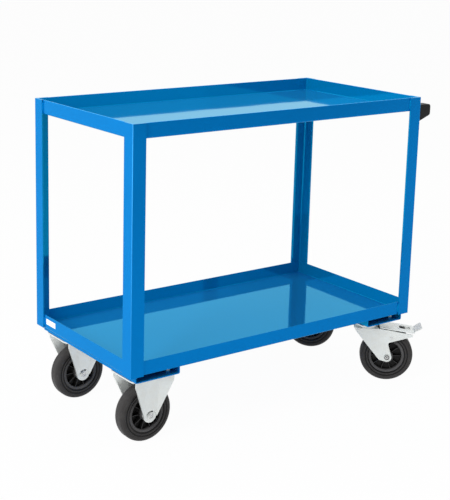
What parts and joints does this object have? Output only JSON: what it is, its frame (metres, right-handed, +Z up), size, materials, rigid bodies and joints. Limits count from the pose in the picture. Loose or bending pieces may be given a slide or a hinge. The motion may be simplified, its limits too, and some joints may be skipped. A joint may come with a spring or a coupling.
{
  "type": "table trolley",
  "caption": "Flat table trolley: upper and lower sheet trays in a frame of angle posts, push handle at one end, fixed castors at the other and braked swivel castors under the handle.",
  "frame": {"origin": "on the floor under the middle of the frame of posts", "axes": "+X along the trolley towards the handle end, -Y to the long side shown nearest in the picture, +Z up"},
  "size_m": [1.0494, 0.55, 0.876],
  "materials": {
    "blue_powder_coat": "glossy powder coat",
    "zinc_plated_sheet": "bright zinc plating on pressed sheet",
    "plated_fasteners": "bright zinc plating",
    "black_rubber": "satin rubber",
    "black_wheel_plastic": "satin moulded plastic",
    "black_handle_plastic": "satin moulded plastic",
    "pale_grey_plastic": "matte moulded plastic",
    "dark_pad_rubber": "matte rubber"
  },
  "bodies": {
    "frame": {"left_front_post": "blue_powder_coat", "left_rear_post": "blue_powder_coat", "right_front_post": "blue_powder_coat", "right_rear_post": "blue_powder_coat", "lower_tray": "blue_powder_coat", "upper_tray": "blue_powder_coat", "left_castor_beam": "blue_powder_coat", "right_castor_beam": "blue_powder_coat", "castor_bolts": "plated_fasteners", "castor_nuts": "plated_fasteners", "front_handle_bracket": "black_handle_plastic", "rear_handle_bracket": "black_handle_plastic", "handle_grip": "black_handle_plastic", "handle_screws": "plated_fasteners", "left_front_bracket": "zinc_plated_sheet", "left_front_axle_bolt": "plated_fasteners", "left_front_axle_nut": "plated_fasteners", "left_front_axle_sleeve": "plated_fasteners", "left_rear_bracket": "zinc_plated_sheet", "left_rear_axle_bolt": "plated_fasteners", "left_rear_axle_nut": "plated_fasteners", "left_rear_axle_sleeve": "plated_fasteners", "right_front_top_plate": "zinc_plated_sheet", "right_front_king_pin": "plated_fasteners", "right_rear_top_plate": "zinc_plated_sheet", "right_rear_king_pin": "plated_fasteners"},
    "left_front_wheel": {"left_front_wheel_centre": "black_wheel_plastic", "left_front_tyre": "black_rubber", "left_front_axle_rollers": "plated_fasteners"},
    "left_rear_wheel": {"left_rear_wheel_centre": "black_wheel_plastic", "left_rear_tyre": "black_rubber", "left_rear_axle_rollers": "plated_fasteners"},
    "right_front_swivel": {"right_front_fork": "zinc_plated_sheet", "right_front_swivel_balls": "plated_fasteners", "right_front_pedal_pins": "plated_fasteners", "right_front_axle_bolt": "plated_fasteners", "right_front_axle_nut": "plated_fasteners", "right_front_axle_sleeve": "plated_fasteners"},
    "right_front_wheel": {"right_front_wheel_centre": "black_wheel_plastic", "right_front_tyre": "black_rubber", "right_front_axle_rollers": "plated_fasteners"},
    "right_front_brake": {"right_front_brake_pedal": "zinc_plated_sheet", "right_front_brake_pad": "dark_pad_rubber", "right_front_pedal_tread": "pale_grey_plastic"},
    "right_rear_swivel": {"right_rear_fork": "zinc_plated_sheet", "right_rear_swivel_balls": "plated_fasteners", "right_rear_pedal_pins": "plated_fasteners", "right_rear_axle_bolt": "plated_fasteners", "right_rear_axle_nut": "plated_fasteners", "right_rear_axle_sleeve": "plated_fasteners"},
    "right_rear_wheel": {"right_rear_wheel_centre": "black_wheel_plastic", "right_rear_tyre": "black_rubber", "right_rear_axle_rollers": "plated_fasteners"},
    "right_rear_brake": {"right_rear_brake_pedal": "zinc_plated_sheet", "right_rear_brake_pad": "dark_pad_rubber", "right_rear_pedal_tread": "pale_grey_plastic"}
  },
  "joints": [
    {"name": "left_front_wheel_spin", "type": "hinge", "parent": "frame", "child": "left_front_wheel", "pos_m": [-0.41, -0.175, 0.08], "axis": [0, 1, 0], "continuous": true},
    {"name": "left_rear_wheel_spin", "type": "hinge", "parent": "frame", "child": "left_rear_wheel", "pos_m": [-0.41, 0.175, 0.08], "axis": [0, 1, 0], "continuous": true},
    {"name": "right_front_swivel_turn", "type": "hinge", "parent": "frame", "child": "right_front_swivel", "pos_m": [0.41, -0.175, 0.181], "axis": [0, 0, 1], "continuous": true},
    {"name": "right_front_wheel_spin", "type": "hinge", "parent": "right_front_swivel", "child": "right_front_wheel", "pos_m": [0.45596, -0.21357, 0.08], "axis": [0.6428, 0.766, 0], "continuous": true},
    {"name": "right_front_brake_press", "type": "hinge", "parent": "right_front_swivel", "child": "right_front_brake", "pos_m": [0.46439, -0.22064, 0.142], "axis": [0.6428, 0.766, 0], "range_deg": [0, 3.4]},
    {"name": "right_rear_swivel_turn", "type": "hinge", "parent": "frame", "child": "right_rear_swivel", "pos_m": [0.41, 0.175, 0.181], "axis": [0, 0, 1], "continuous": true},
    {"name": "right_rear_wheel_spin", "type": "hinge", "parent": "right_rear_swivel", "child": "right_rear_wheel", "pos_m": [0.45092, 0.13112, 0.08], "axis": [0.7314, 0.682, 0], "continuous": true},
    {"name": "right_rear_brake_press", "type": "hinge", "parent": "right_rear_swivel", "child": "right_rear_brake", "pos_m": [0.45842, 0.12307, 0.142], "axis": [0.7314, 0.682, 0], "range_deg": [0, 3.4]}
  ]
}
